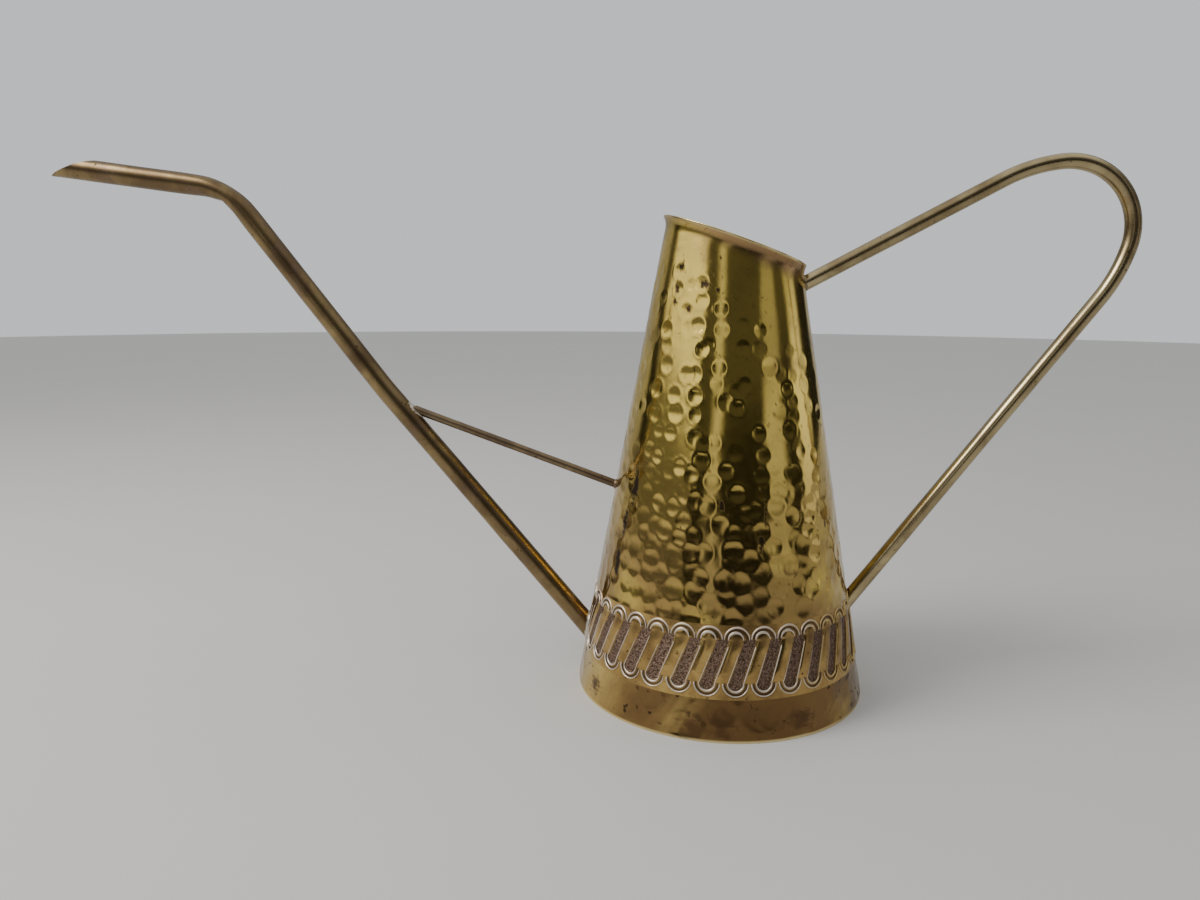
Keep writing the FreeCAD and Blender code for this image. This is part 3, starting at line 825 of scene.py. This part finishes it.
# Brown of the painted shade low on the wall.
WALL_LOW_PAINTED_SHADE = (0.27, 0.17, 0.07, 1)
PINK_TARNISH = (0.27, 0.155, 0.095, 1)
DARK_TARNISH = (0.045, 0.03, 0.018, 1)
LINING_TARNISH = (0.30, 0.2, 0.08, 1)
STIPPLE_DARK = (0.06, 0.038, 0.028, 1)
STIPPLE_PALE = (0.28, 0.19, 0.15, 1)
# Dark of the grooves, and of the painted shade at each smooth bar's top.
GROOVE_DARK_AND_SHADE = (0.06, 0.035, 0.03, 1)
# Gold of the painted reflection on the ribs towards the handle.
RIB_PAINTED_GOLD_REFLECTION = (0.62, 0.44, 0.14, 1)
# Dark of the foot's stains, partly painted shade over its front.
SKIRT_STAIN_AND_SHADE = (0.10, 0.055, 0.03, 1)
# The painted shade over the front of the foot: its dark brown, and the middle of the patch in metres.
SKIRT_FRONT_PAINTED_SHADE = (0.15, 0.085, 0.035, 1)
SKIRT_FRONT_PAINTED_SHADE_PLACE = (0.008, -0.068, 0.008)
MAUVE_BLOOM = (0.22, 0.15, 0.13, 1)
RUBBING = 0.15


class Metal:
    """One metal finish: its patina and hand finish, with room for stains before it is closed. Its depth
    is the height of its bumps in millimetres."""

    def __init__(self, name, clean, aged, size, age, specks, dullness, depth=0.03, grain=220):
        self.material = bpy.data.materials.new(name)
        self.material.use_nodes = True
        self.tree = self.material.node_tree
        self.shader = self.tree.nodes["Principled BSDF"]
        self.place = add(self.tree, "TexCoord", {}).outputs["Object"]
        looks = {"Place": self.place, "Size": size, "Age": age, "Specks": specks, "Clean": clean,
                 "Aged": aged, "Dark": DARK_TARNISH, "Dullness": dullness}
        patina = add(self.tree, "Group", looks, node_tree=PATINA)
        feel = {"Place": self.place, "Size": grain, "Rubbing": RUBBING}
        finish = add(self.tree, "Group", feel, node_tree=FINISH)
        self.color = patina.outputs["Color"]
        self.roughness = patina.outputs["Roughness"]
        self.height = finish.outputs["Height"]
        self.depth = depth

    def value(self, name):
        """One of the piece's own surface values."""
        return add(self.tree, "Attribute", {}, attribute_name=name).outputs["Fac"]

    def coordinates(self):
        """The piece's X, Y and Z."""
        return add(self.tree, "SeparateXYZ", {"Vector": self.place}).outputs

    def noise(self, scale, detail, roughness):
        """The value of a noise over the piece."""
        return noise(self.tree, self.place, scale, detail, roughness)

    def math(self, operation, *values):
        """The result of a Math node."""
        return math_node(self.tree, operation, *values)

    def eased(self, value, low, high):
        """0 under low, 1 over high, eased between."""
        return eased(self.tree, value, low, high)

    def under(self, value, low, high):
        """1 under low, 0 over high, eased between."""
        return self.math("SUBTRACT", 1, self.eased(value, low, high))

    def stain(self, share, color, dulling):
        """Lays another colour over part of the surface and makes it duller there."""
        self.color = blended(self.tree, share, self.color, color)
        self.roughness = self.math("ADD", self.roughness, self.math("MULTIPLY", share, dulling))

    def stain_lining(self):
        """Tarnishes the inside of the sheet."""
        self.stain(self.math("MULTIPLY", self.value("lining"), 0.6), LINING_TARNISH, 0.22)

    def wear_and_painted_highlight(self, share):
        """Lays pale bright brass on an edge: rubbed metal on the foot's lower edge, and a painted
        highlight along the wall's lip.
        """
        self.stain(self.math("MULTIPLY", share, 0.8), PALE_WEAR_AND_HIGHLIGHT, 0)

    def closed(self):
        """Joins the finish to the shader."""
        self.shader.inputs["Metallic"].default_value = 1
        self.tree.links.new(self.color, self.shader.inputs["Base Color"])
        self.tree.links.new(self.roughness, self.shader.inputs["Roughness"])
        bumps = {"Height": self.height, "Strength": 1, "Distance": self.depth * MM}
        bump = add(self.tree, "Bump", bumps)
        self.tree.links.new(bump.outputs["Normal"], self.shader.inputs["Normal"])
        return self.material


def hammered_brass():
    """The wall: bright brass with painted shade in brown clouds low down, tarnished under the rim and
    spotted, dull inside, and with a painted highlight along the lip."""
    metal = Metal("hammered_brass", BRIGHT, OLIVE, size=34, age=0.42, specks=0.35, dullness=0.07)
    under_edge = metal.value("under_edge")
    edge_noise = metal.noise(90, 4, 0.6)
    place = metal.coordinates()
    # Painted shade: brown clouds darken the wall towards the bottom, standing in for darker reflections
    # low down.
    low = metal.under(place["Z"], 0.05, 0.17)
    clouds = metal.eased(metal.noise(22, 4, 0.6), 0.2, 0.52)
    metal.stain(metal.math("MULTIPLY", metal.math("MULTIPLY", low, clouds), 0.85), WALL_LOW_PAINTED_SHADE, 0.05)

    wider = metal.math("MULTIPLY", metal.eased(place["X"], -0.03, 0.02), 5)
    reach = metal.math("ADD", wider, metal.math("MULTIPLY", edge_noise, 7))
    rim = metal.eased(metal.math("SUBTRACT", reach, under_edge), -2, 4)
    stronger = metal.math("MULTIPLY", metal.eased(place["X"], -0.04, 0), 0.65)
    metal.stain(metal.math("MULTIPLY", rim, metal.math("ADD", 0.2, stronger)), PINK_TARNISH, 0.16)
    metal.stain_lining()
    metal.stain(metal.value("pits"), DARK_TARNISH, 0.3)
    # Painted highlight: pale bright brass along the top edge of the lip.
    metal.wear_and_painted_highlight(metal.under(under_edge, 0.2, 1.1))
    return metal.closed()


def band_brass():
    """The embossed ring: brownish brass, mauve-brown stippled bars, dark grooves and painted shade at
    the top of each smooth bar.
    """
    metal = Metal("band_brass", (0.56, 0.38, 0.13, 1), (0.26, 0.16, 0.06, 1), size=60, age=0.5,
                  specks=0.5, dullness=0.10)
    stipple = metal.value("stipple")
    fine = metal.eased(metal.noise(1500, 2, 0.5), 0.35, 0.65)
    tone = blended(metal.tree, fine, STIPPLE_DARK, STIPPLE_PALE)
    metal.stain(metal.math("MULTIPLY", stipple, 0.94), tone, 0.26)
    grains = metal.math("MULTIPLY", metal.math("MULTIPLY", fine, stipple), 5)
    metal.height = metal.math("ADD", metal.height, grains)
    # Dark grooves, and painted shade at the top of each smooth bar.
    metal.stain(metal.math("MULTIPLY", metal.value("groove_and_shade"), 0.85), GROOVE_DARK_AND_SHADE, 0.3)
    metal.stain_lining()
    return metal.closed()


def rib_brass():
    """The raised lines: pale brass, partly dried polish and partly a painted highlight, turning gold
    towards the handle as a painted reflection.
    """
    # The pale tones are partly dried polish and partly a painted highlight on the ribs.
    metal = Metal("rib_brass", (0.78, 0.69, 0.59, 1), (0.55, 0.44, 0.33, 1), size=70, age=0.35,
                  specks=0.3, dullness=0.42)
    # Painted reflection: the ribs turn gold towards the handle's side.
    painted_gold_side = metal.eased(metal.coordinates()["X"], 0.022, 0.05)
    metal.stain(metal.math("MULTIPLY", painted_gold_side, 0.85), RIB_PAINTED_GOLD_REFLECTION, 0)
    return metal.closed()


def skirt_brass():
    """The plain foot: bright, with painted shade in dark brown over its front, dark stains that are
    partly painted shade there too, and a worn lower edge.
    """
    metal = Metal("skirt_brass", (0.84, 0.62, 0.20, 1), (0.20, 0.12, 0.05, 1), size=17, age=0.56,
                  specks=0.5, dullness=0.06)
    metal.stain_lining()
    # Dark stains and pits; the large ones over the front are partly painted shade.
    metal.stain(metal.value("pits"), SKIRT_STAIN_AND_SHADE, 0.22)
    # Painted shade: a dark brown patch with a ragged edge over the front of the foot.
    front = add(metal.tree, "VectorMath", {0: metal.place, 1: SKIRT_FRONT_PAINTED_SHADE_PLACE}, operation="DISTANCE")
    ragged = metal.math("MULTIPLY", metal.noise(60, 5, 0.65), 0.022)
    painted_front_shade = metal.under(metal.math("ADD", front.outputs["Value"], ragged), 0.033, 0.041)
    metal.stain(metal.math("MULTIPLY", painted_front_shade, 0.6), SKIRT_FRONT_PAINTED_SHADE, 0.08)
    metal.wear_and_painted_highlight(metal.under(metal.coordinates()["Z"], 0.0005, 0.0016))
    return metal.closed()


def spout_brass():
    """The spout: bronze-brown patina with a mauve bloom."""
    metal = Metal("spout_brass", (0.34, 0.25, 0.115, 1), (0.14, 0.095, 0.05, 1), size=40, age=0.55,
                  specks=0.4, dullness=0.20, depth=0.012)
    bloom = metal.eased(metal.noise(75, 5, 0.6), 0.5, 0.7)
    metal.stain(metal.math("MULTIPLY", bloom, 0.3), MAUVE_BLOOM, 0.12)
    return metal.closed()


def handle_brass():
    """The handle: rubbed brass over a brown patina."""
    return Metal("handle_brass", (0.50, 0.41, 0.23, 1), (0.22, 0.16, 0.08, 1), size=38, age=0.48,
                 specks=0.25, dullness=0.15, depth=0.004).closed()


def rod_brass():
    """The brace: duller and greyer."""
    return Metal("rod_brass", (0.28, 0.21, 0.12, 1), (0.14, 0.10, 0.065, 1), size=60, age=0.55,
                 specks=0.5, dullness=0.25).closed()


def base_brass():
    """The bottom disc, dull and stained."""
    return Metal("base_brass", (0.60, 0.43, 0.17, 1), (0.30, 0.2, 0.09, 1), size=30, age=0.6,
                 specks=0.6, dullness=0.35).closed()


def solder_metal():
    """Solder: grey, a little yellowed, with a frosted skin."""
    return Metal("old_solder", (0.66, 0.62, 0.54, 1), (0.36, 0.30, 0.2, 1), size=160, age=0.45,
                 specks=0.4, dullness=0.3, depth=0.06, grain=500).closed()


def brown_solder():
    """Solder that has tarnished with the brass beside it."""
    return Metal("brown_solder", (0.36, 0.28, 0.17, 1), (0.16, 0.11, 0.07, 1), size=160, age=0.55,
                 specks=0.5, dullness=0.34, depth=0.06, grain=500).closed()


FLOOR_TONES = ((0.62, 0.615, 0.605, 1), (0.65, 0.645, 0.635, 1))
FLOOR_RADIUS = 4


def floor_paint():
    """Plain pale paper, hardly mottled."""
    material = bpy.data.materials.new("pale_floor")
    material.use_nodes = True
    tree = material.node_tree
    place = add(tree, "TexCoord", {}).outputs["Object"]
    tone = blended(tree, noise(tree, place, 6, 3), *FLOOR_TONES)
    shader = tree.nodes["Principled BSDF"]
    tree.links.new(tone, shader.inputs["Base Color"])
    shader.inputs["Roughness"].default_value = 0.75
    return material


# ---------------------------------------------------------------- the can

wall = make_wall(hammered_brass())
band = make_band(band_brass())
ribs = make_ribs(rib_brass())
skirt = make_skirt(skirt_brass())
for piece in (wall, band, ribs, skirt):
    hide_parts("body_shell")

spout = make_spout(spout_brass())
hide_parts("spout_tube")
handle = make_handle(handle_brass())
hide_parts("handle")
brace = make_brace(rod_brass())
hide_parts("spout_brace")

solder = solder_metal()
tarnished = brown_solder()
spout_heading = heading_between(*SPOUT_CORNERS[:2])
brace_heading = math.pi - BRACE_RISE
make_solder("spout_root_fillet", "spout_root_solder", SPOUT_ROOT, spout_heading, SPOUT_RADIUS,
            spread=1.5, rise=1.8, outside=from_wall, seed=51, material=solder)
make_solder("handle_top_fillet", "handle_upper_solder", HANDLE_TOP, HANDLE_TOP_RISE, HANDLE_RADIUS,
            spread=0.9, rise=1.1, outside=from_wall, seed=53, material=tarnished)
make_solder("handle_foot_fillet", "handle_lower_solder", HANDLE_FOOT, HANDLE_FOOT_RISE, HANDLE_RADIUS,
            spread=0.9, rise=1.1, outside=from_wall, seed=55, material=tarnished)
make_solder("brace_rear_fillet", "brace_rear_solder", BRACE_REAR, brace_heading, BRACE_RADIUS,
            spread=0.8, rise=1.0, outside=from_wall, seed=57, material=tarnished)
brace_front = (BRACE_REAR[0] + BRACE_LENGTH * math.cos(brace_heading),
               BRACE_REAR[1] + BRACE_LENGTH * math.sin(brace_heading))
make_solder("brace_front_fillet", "brace_front_solder", brace_front, brace_heading + math.pi,
            BRACE_RADIUS, spread=0.9, rise=1.2, outside=from_spout, seed=59, material=solder)

kept = {"base_plate": base_brass(), "base_solder": solder, "body_seam_solder": solder}
for node, material in kept.items():
    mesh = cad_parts[node].data
    mesh.materials.clear()
    mesh.materials.append(material)

# ---------------------------------------------------------------- floor, light and camera


def make_floor():
    """A large pale round floor."""
    bm = bmesh.new()
    bmesh.ops.create_circle(bm, cap_ends=True, segments=96, radius=FLOOR_RADIUS)
    mesh = bpy.data.meshes.new("floor")
    bm.to_mesh(mesh)
    bm.free()
    mesh.materials.append(floor_paint())
    floor = bpy.data.objects.new("floor", mesh)
    bpy.context.scene.collection.objects.link(floor)


# Each panel's first and last azimuth in degrees, and its brightness low down and high up. The ring is
# laid out from RING_START, which no panel crosses.
RING_START = 155
PANELS = [(160, 234, (0.17, 1.10)), (248, 264, (0.75, 0.60)), (311, 340, (0.60, 0.34)),
          (355, 384, (0.95, 0.34)), (50, 152, (0.36, 0.36))]
PANEL_EDGE = 6
PANEL_RISE = (0.13, 0.27)
OVERHEAD_RISE = (0.5, 0.85)
GAP_TONES = (0.02, 0.08)
OVERHEAD_TONE = (0.9, 0.9, 0.9, 1)
BACKDROP_TONE = (0.70, 0.71, 0.73, 1)


def panel_ring(tree, turn, level):
    """The grey of the white panels and of the dim gaps between them all round, low down or high up."""
    gap = GAP_TONES[level]
    ring = add(tree, "ValToRGB", {"Fac": turn})
    stops = ring.color_ramp.elements
    for stop in stops:
        stop.color = (gap, gap, gap, 1)
    for start, end, tones in PANELS:
        lit = tones[level]
        edges = ((start, gap), (start + PANEL_EDGE, lit), (end - PANEL_EDGE, lit), (end, gap))
        for azimuth, tone in edges:
            stops.new((azimuth - RING_START) % 360 / 360).color = (tone, tone, tone, 1)
    return ring.outputs["Color"]


def make_surroundings():
    """A plain studio: soft white panels round the can and soft light overhead. The camera sees only the
    plain pale backdrop, and everything else sees only the panels and the light overhead."""
    world = bpy.data.worlds.new("pale_studio")
    bpy.context.scene.world = world
    world.use_nodes = True
    tree = world.node_tree
    way = add(tree, "SeparateXYZ", {"Vector": add(tree, "TexCoord", {}).outputs["Generated"]}).outputs
    turn = math_node(tree, "DIVIDE", math_node(tree, "ARCTAN2", way["Y"], way["X"]), TAU)
    turn = math_node(tree, "FRACT", math_node(tree, "ADD", turn, 1 - RING_START / 360))
    rise = eased(tree, way["Z"], *PANEL_RISE)
    panels = blended(tree, rise, panel_ring(tree, turn, 0), panel_ring(tree, turn, 1))
    studio = blended(tree, eased(tree, way["Z"], *OVERHEAD_RISE), panels, OVERHEAD_TONE)
    seen = add(tree, "LightPath", {}).outputs["Is Camera Ray"]
    tone = blended(tree, seen, studio, BACKDROP_TONE)
    shown = add(tree, "Background", {"Color": tone, "Strength": 1.0})
    tree.links.new(shown.outputs[0], tree.nodes["World Output"].inputs["Surface"])


def make_light(name, place, aim, size, power, tone):
    """A square soft light aimed at a point. Places and size are in millimetres, power in watts."""
    lamp = bpy.data.lights.new(name, "AREA")
    lamp.shape = "SQUARE"
    lamp.size = size * MM
    lamp.energy = power
    lamp.color = tone
    light = bpy.data.objects.new(name, lamp)
    light.location = Vector(place) * MM
    light.rotation_euler = (Vector(place) - Vector(aim)).to_track_quat("Z", "Y").to_euler()
    bpy.context.scene.collection.objects.link(light)


CAMERA_PLACE = (-32.67, -426.07, 191.09)
CAMERA_TURN = 3.693
CAMERA_DIP = 10.096
CAMERA_ROLL = 0.337
FOCAL_LENGTH = 26.58
SENSOR_WIDTH = 36


def make_camera():
    """The camera in front of the can, as high as its upper wall and looking a little down."""
    lens = bpy.data.cameras.new("camera")
    lens.lens = FOCAL_LENGTH
    lens.sensor_width = SENSOR_WIDTH
    camera = bpy.data.objects.new("camera", lens)
    turn = Matrix.Rotation(math.radians(CAMERA_TURN), 4, "Z")
    tilt = Matrix.Rotation(math.radians(90 - CAMERA_DIP), 4, "X")
    roll = Matrix.Rotation(math.radians(CAMERA_ROLL), 4, "Z")
    place = Matrix.Translation(Vector(CAMERA_PLACE) * MM)
    camera.matrix_world = place @ turn @ tilt @ roll
    bpy.context.scene.collection.objects.link(camera)
    bpy.context.scene.camera = camera


make_floor()
make_surroundings()
make_light("window", place=(-800, -300, 900), aim=(0, 0, 100), size=500, power=8,
           tone=(1.0, 0.97, 0.92))
make_camera()
